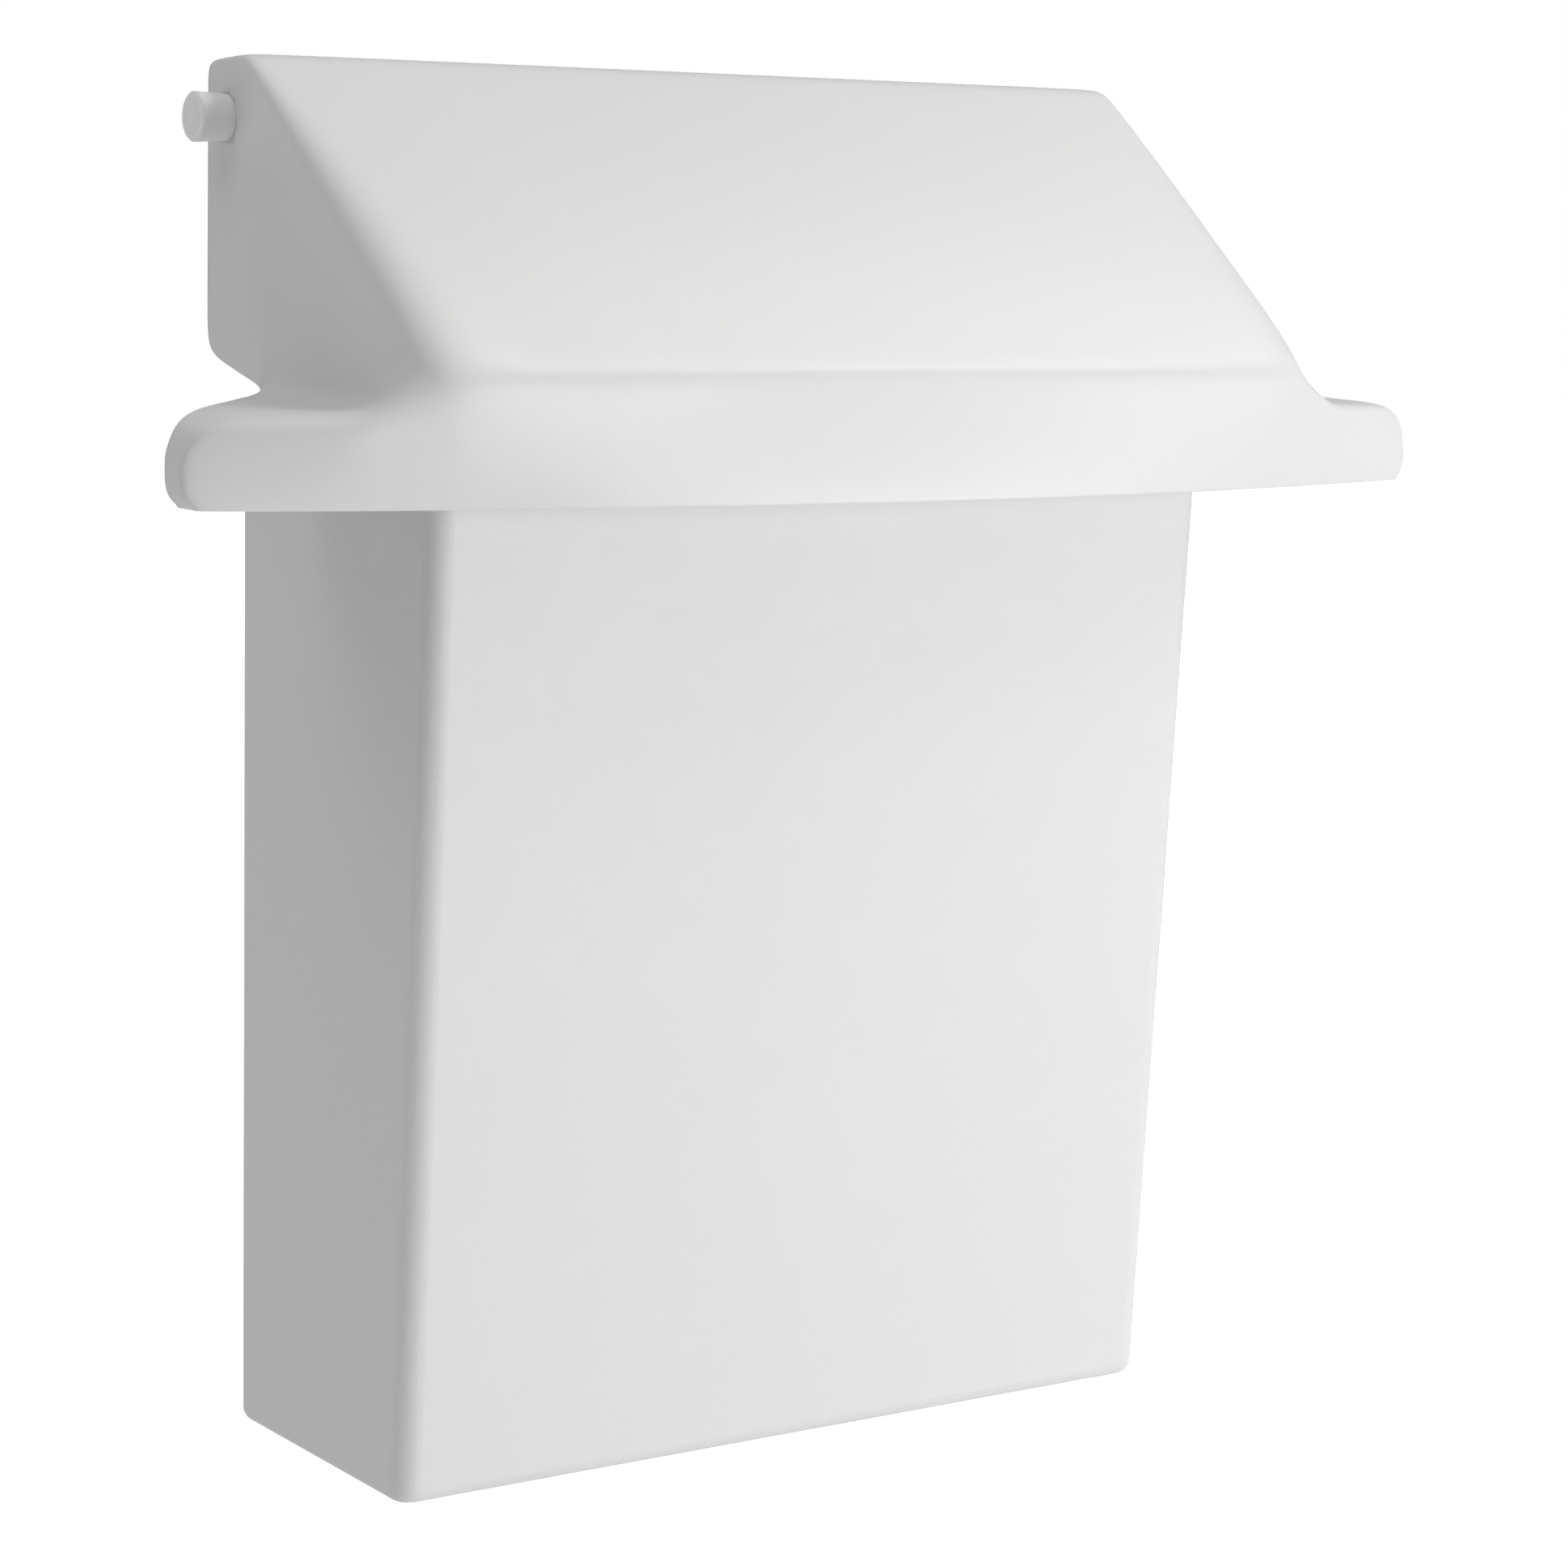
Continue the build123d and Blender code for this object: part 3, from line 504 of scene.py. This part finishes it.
def roof_at(x, share):
    """Depth and height of the roof, from the ridge to the crease, with its slight bulge."""
    ridge, crease = (RIDGE_DEPTH, ridge_height), crease_at(x)
    depth, height = between(ridge, crease, share)
    run, fall = crease[0] - ridge[0], ridge[1] - crease[1]
    length = math.hypot(run, fall)
    bulge = 4 * ROOF_BULGE * share * (1 - share)
    return (depth + bulge * fall / length, height + bulge * run / length)


# %% Rows and columns of the cage
# The first two rows lie on the flat strip behind the ridge. The others lie on the roof, from ridge to crease.
ROOF_SHARES = (0, 0.045, 0.25, 0.5, 0.74, 0.93, 1)
CREASE_SHARE = 0.975
COLUMN_SHARES = (0, 0.4, 0.72, 0.9, 1)
LIP_ROWS = 2
ROWS = LIP_ROWS + len(ROOF_SHARES)
FIRST_WING_ROW = 3

# One number a row, from the rear lip, by the ridge, down to the crease. First the cheek's upper edge: how
# round it is, how far it is drawn in, how far it swells forwards, and how far it drops.
CHEEK_ROUND = (9, 9, 9, 11, 19, 27, 32, 36, 38)
EDGE_IN = (0, 0, 0, 0, 0, 1, 4, 8, 20)
EDGE_SWELL = (0, 0, 0, 0, 0, 1, 4, 5, 1)
EDGE_DROP = (3, 0.5, 0.5, 0, 0, 0, 0, 0, 0)
SWELL_POWER, DROP_POWER = 6, 30

# Then the cheek's foot: where it stands, and how far it is let out.
FOOT_DEPTHS = (lip_depth, 45, 66, 81, 94, 130, 170, 198, 213)
FOOT_HEIGHTS = (CHEEK_CORNER_HEIGHT, 483.5, 478, 475, 474.5, 473, 472, 473, 471)
FOOT_OUT = (0, 0, 0, 0, 4, 6, 8, 12, 25)
FOOT_ROUND = 20
LONGEST_ROUND, SHORTEST_CHEEK = 0.3, 0.72

# One number a column, from the cheek's foot out to the tip: how far along it is, and how far the wing's top
# stands above a straight line.
WING_COLUMNS = 5
WING_SHARES = (0.2, 0.45, 0.71, 0.91, 1)
WING_RISE = (3, 7, 11.5, 11.5, 0)


def roof_point(row, x):
    """Depth and height of a row's point on the roof, or on the flat strip behind the ridge."""
    swell = EDGE_SWELL[row] * (x / cheek_x) ** SWELL_POWER
    drop = EDGE_DROP[row] * (x / cheek_x) ** DROP_POWER
    if row < LIP_ROWS:
        return ((lip_depth, RIDGE_DEPTH - RIDGE_ROUND)[row], ridge_height - drop)
    share = ROOF_SHARES[row - LIP_ROWS]
    if row == ROWS - 2:
        share = between(CREASE_SHARE, share, (x / cheek_x) ** 2)
    depth, height = roof_at(x, share)
    return (depth + swell, height - drop)


def roof_columns(row):
    """X of a row's points across half the roof, the last one on the cheek's edge."""
    edge = cheek_x - EDGE_IN[row]
    inner = edge - CHEEK_ROUND[row]
    return [share * inner for share in COLUMN_SHARES] + [edge]


def cheek_points(row):
    """The cheek's points below the edge, down to its foot on the wing."""
    edge_x = roof_columns(row)[-1]
    top = at(edge_x, *roof_point(row, edge_x))
    foot = at(cheek_x + FOOT_OUT[row], FOOT_DEPTHS[row], FOOT_HEIGHTS[row])
    length = (foot - top).length / MM
    first = min(CHEEK_ROUND[row] / length, LONGEST_ROUND)
    last = max(1 - FOOT_ROUND / length, SHORTEST_CHEEK)
    return [top.lerp(foot, share) for share in (first, 0.5, last, 1)]


def wing_points(row):
    """The wing's top from the cheek's foot out to the tip."""
    foot = cheek_points(row)[-1]
    tip = at(tip_x, TIP_DEPTHS[row - FIRST_WING_ROW], TIP_HEIGHTS[row - FIRST_WING_ROW])
    return [foot.lerp(tip, share) + Vector((0, 0, rise * MM)) for share, rise in zip(WING_SHARES, WING_RISE)]


def row_points(row):
    """All the places of one row, from the middle of the roof outwards."""
    roof = [at(x, *roof_point(row, x)) for x in roof_columns(row)]
    wing = wing_points(row) if row >= FIRST_WING_ROW else [cheek_points(row)[-1]] * WING_COLUMNS
    return roof + cheek_points(row) + wing


COLUMNS = len(row_points(0))
print("cage:", ROWS, "rows of", COLUMNS, "points")

# %% Lay the grid on its places
# Each step down the wall has its share of the way in the middle, by the cheek and at the wing's tip.
WALL_STEPS = ((0.1, 0.42, 0.2), (0.84, 0.8, 0.76), (1, 1, 1))
TIP_CURL = (0, 0, 7.5)
LIP_CURL = 1.2
NEAR = 1


def laid_grid(form):
    """A grid from the grid operator, moved row by row onto the hood. Returns its points, row by row."""
    bmesh.ops.create_grid(form, x_segments=COLUMNS - 1, y_segments=ROWS - 1, size=1)
    ordered = sorted(form.verts, key=lambda v: (round(v.co.y, 4), round(v.co.x, 4)))
    grid = [ordered[row * COLUMNS:(row + 1) * COLUMNS] for row in range(ROWS)]
    for row, verts in enumerate(grid):
        for vert, place in zip(verts, row_points(row)):
            vert.co = place
    return grid


def drop_outline(form, grid):
    """Pulls the wing's edge and the crease down into the collar's walls, in three steps."""
    foot = COLUMNS - WING_COLUMNS - 1
    outline = list(grid[FIRST_WING_ROW][foot:])
    outline += [grid[row][-1] for row in range(FIRST_WING_ROW + 1, ROWS)]
    outline += list(reversed(grid[-1][:-1]))
    tops = [vert.co.copy() for vert in outline]
    chain = outline
    for step in range(len(WALL_STEPS)):
        edges = [form.edges.get(pair) for pair in zip(chain, chain[1:])]
        made = bmesh.ops.extrude_edge_only(form, edges=edges)["geom"]
        fresh = {vert for vert in made if isinstance(vert, bmesh.types.BMVert)}
        chain = [next(edge.other_vert(old) for edge in old.link_edges if edge.other_vert(old) in fresh)
                 for old in chain]
        for vert, top in zip(chain, tops):
            vert.co = wall_point(top, step)


def wall_point(top, step):
    """A point of the wall, some steps below a point of the outline. The top edge is softest by the cheek."""
    x, depth, height = top.x / MM, depth_of(top.y), height_of(top.z)
    in_middle, by_cheek, at_tip = WALL_STEPS[step]
    share = between(in_middle, by_cheek, min((x / cheek_x) ** 2, 1))
    share = between(share, at_tip, max((x - cheek_x) / (tip_x - cheek_x), 0))
    front = depth > TIP_DEPTHS[-1] - NEAR
    low_depth = collar_depth - bow(x) if front else depth
    curl = LIP_CURL if share == 1 else 0
    low_depth -= curl if front else -curl
    low_x = x - (TIP_CURL[step] if x > tip_x - NEAR else 0)
    return at(low_x, between(depth, low_depth, share), between(height, collar_bottom, share))


# %% Build the skin
WELD = 0.0001
EDGE_SHARPNESS = 0.75
SMOOTH_LEVELS = 3


def new_piece(name, form, body, material, replaces=None):
    """Turns a bmesh into a finished object that rides on a body."""
    mesh = bpy.data.meshes.new(name)
    form.to_mesh(mesh)
    form.free()
    mesh.polygons.foreach_set("use_smooth", [True] * len(mesh.polygons))
    piece = bpy.data.objects.new(name, mesh)
    bpy.context.scene.collection.objects.link(piece)
    dress(piece, material)
    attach(piece, body)
    if replaces:
        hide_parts(replaces)
    return piece


def make_hood_skin():
    """The whole hood as one skin: half a cage, mirrored, given its thickness and smoothed."""
    form = bmesh.new()
    grid = laid_grid(form)
    drop_outline(form, grid)
    foot = COLUMNS - WING_COLUMNS - 1
    unused = {vert for row in range(FIRST_WING_ROW) for vert in grid[row][foot + 1:]}
    bmesh.ops.delete(form, geom=list(unused), context="VERTS")
    bmesh.ops.mirror(form, geom=form.verts[:] + form.edges[:] + form.faces[:], axis="X", merge_dist=WELD)
    bmesh.ops.remove_doubles(form, verts=form.verts, dist=WELD)
    bmesh.ops.recalc_face_normals(form, faces=form.faces)
    skin = new_piece("hood_skin", form, "lid", hood_plastic, "hood")
    wall = skin.modifiers.new("wall", "SOLIDIFY")
    wall.thickness = SKIN * MM
    wall.offset = -1
    wall.use_even_offset = False
    wall.edge_crease_inner = wall.edge_crease_outer = EDGE_SHARPNESS
    smooth = skin.modifiers.new("smooth", "SUBSURF")
    smooth.levels = smooth.render_levels = SMOOTH_LEVELS
    return skin


hood_skin = make_hood_skin()
print("hood cage:", len(hood_skin.data.polygons), "faces")

# %% [markdown]
# ## Inside the hood
#
# When the hood is up, its inside shows. Two upright ribs stiffen the front and carry the bosses of the rubber
# buffers, and a round socket on each cheek holds the bush that the pin turns in. The ribs follow the same
# lines as the skin, and sink halfway into it, as they do in one moulding. The pins pass through real holes.

# %% Ribs and buffer bosses
RIB_THICKNESS = 4
RIB_BACK_DEPTH = 174
RIB_BOTTOM_HEIGHT = 458.2
RIB_ROOF_STEPS, RIB_ROOF_START = 3, 0.96
RIB_CREASE_SINK, RIB_ROOF_SINK = 2, 0.65
RIB_EDGE = 0.8
BOSS_RADIUS, BOSS_HEIGHT = 7, 16
rib_x = (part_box("lid_buffer_right")[0].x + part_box("lid_buffer_right")[1].x) / 2 / MM
boss_depth = depth_of((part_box("lid_buffer_right")[0].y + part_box("lid_buffer_right")[1].y) / 2)


def rib_outline():
    """Depths and heights round one rib, from its bottom back corner, by the front, to its top."""
    crease = crease_at(rib_x)
    fall = (crease[1] - RIB_BOTTOM_HEIGHT) / (crease[1] - collar_bottom)
    front = between(crease[0], collar_depth - bow(rib_x), fall)
    back_share = (RIB_BACK_DEPTH - RIDGE_DEPTH) / (crease[0] - RIDGE_DEPTH)
    shares = [between(RIB_ROOF_START, back_share, step / RIB_ROOF_STEPS)
              for step in range(RIB_ROOF_STEPS + 1)]
    roof = [roof_at(rib_x, share) for share in shares]
    half = SKIN / 2
    corners = [(RIB_BACK_DEPTH, RIB_BOTTOM_HEIGHT), (front - half, RIB_BOTTOM_HEIGHT)]
    corners.append((crease[0] - half, crease[1] - RIB_CREASE_SINK * SKIN))
    return corners + [(depth, height - RIB_ROOF_SINK * SKIN) for depth, height in roof]


def make_rib(name, side):
    """An upright rib with the boss of its buffer, on one side of the hood."""
    form = bmesh.new()
    verts = [form.verts.new(at(side * rib_x - RIB_THICKNESS / 2, *corner)) for corner in rib_outline()]
    face = form.faces.new(verts)
    grown = bmesh.ops.extrude_face_region(form, geom=[face])["geom"]
    fresh = [part for part in grown if isinstance(part, bmesh.types.BMVert)]
    bmesh.ops.translate(form, verts=fresh, vec=(RIB_THICKNESS * MM, 0, 0))
    bmesh.ops.recalc_face_normals(form, faces=form.faces)
    bmesh.ops.bevel(form, geom=form.edges[:], offset=RIB_EDGE * MM, offset_type="OFFSET", segments=2,
                    profile=0.5, affect="EDGES", material=-1)
    middle = at(side * rib_x, boss_depth, RIB_BOTTOM_HEIGHT + BOSS_HEIGHT / 2)
    boss = bmesh.ops.create_cone(form, cap_ends=True, segments=48, radius1=BOSS_RADIUS * MM,
                                 radius2=BOSS_RADIUS * MM, depth=BOSS_HEIGHT * MM,
                                 matrix=Matrix.Translation(middle))["verts"]
    rims = {e for v in boss for e in v.link_edges if len(e.link_faces) == 2 and e.calc_face_angle() > 1}
    bmesh.ops.bevel(form, geom=list(rims), offset=RIB_EDGE * MM, offset_type="OFFSET", segments=3,
                    profile=0.5, affect="EDGES", material=-1)
    return new_piece(name, form, "lid", hood_plastic)


make_rib("hood_rib_right", 1)
make_rib("hood_rib_left", -1)
print("ribs at", round(rib_x, 1), "mm each side")

# %% Sockets for the bushes, and the pin holes
SOCKET_OUTER, SOCKET_INNER = 17.05, 13.1
SOCKET_LENGTH = 12
SOCKET_EDGE = 1
ROUND_STEPS = 64
DRILL_LENGTH = 1.0
PIN_HOLE_RADIUS = 10.1
pin_low, pin_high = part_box("hinge_pin_right")
hinge_y, hinge_z = (pin_low.y + pin_high.y) / 2, (pin_low.z + pin_high.z) / 2


def make_socket(name, side):
    """A short ring on the inside of a cheek, spun round the hinge line, with one softened rim."""
    form = bmesh.new()
    inner_x, outer_x = cheek_x - SKIN - SOCKET_LENGTH, cheek_x - SKIN / 2
    corners = [(inner_x, SOCKET_INNER), (inner_x, SOCKET_OUTER - SOCKET_EDGE),
               (inner_x + SOCKET_EDGE, SOCKET_OUTER), (outer_x, SOCKET_OUTER), (outer_x, SOCKET_INNER)]
    ring = [form.verts.new((side * x * MM, hinge_y, hinge_z + radius * MM)) for x, radius in corners]
    edges = [form.edges.new(pair) for pair in zip(ring, ring[1:] + ring[:1])]
    bmesh.ops.spin(form, geom=ring + edges, cent=(0, hinge_y, hinge_z), axis=(1, 0, 0), angle=math.tau,
                   steps=ROUND_STEPS, use_merge=True)
    bmesh.ops.recalc_face_normals(form, faces=form.faces)
    return new_piece(name, form, "lid", hood_plastic)


def drill_pin_holes(piece):
    """Cuts both pin holes with one long bar, and settles all the piece's operators into its mesh."""
    form = bmesh.new()
    turn = Matrix.Translation((0, hinge_y, hinge_z)) @ Matrix.Rotation(math.radians(90), 4, "Y")
    bmesh.ops.create_cone(form, cap_ends=True, segments=ROUND_STEPS, radius1=PIN_HOLE_RADIUS * MM,
                          radius2=PIN_HOLE_RADIUS * MM, depth=DRILL_LENGTH, matrix=turn)
    bar_mesh = bpy.data.meshes.new("drill_bar")
    form.to_mesh(bar_mesh)
    form.free()
    bar = bpy.data.objects.new("drill_bar", bar_mesh)
    bpy.context.scene.collection.objects.link(bar)
    cut = piece.modifiers.new("pin_holes", "BOOLEAN")
    cut.operation = "DIFFERENCE"
    cut.solver = "EXACT"
    cut.object = bar
    settled = bpy.data.meshes.new_from_object(piece.evaluated_get(bpy.context.evaluated_depsgraph_get()))
    piece.modifiers.clear()
    piece.data = settled
    bpy.data.objects.remove(bar)
    bpy.data.meshes.remove(bar_mesh)
    return settled


make_socket("hood_socket_right", 1)
make_socket("hood_socket_left", -1)
drilled = drill_pin_holes(hood_skin)
print("hood skin:", len(drilled.polygons), "faces with its pin holes")
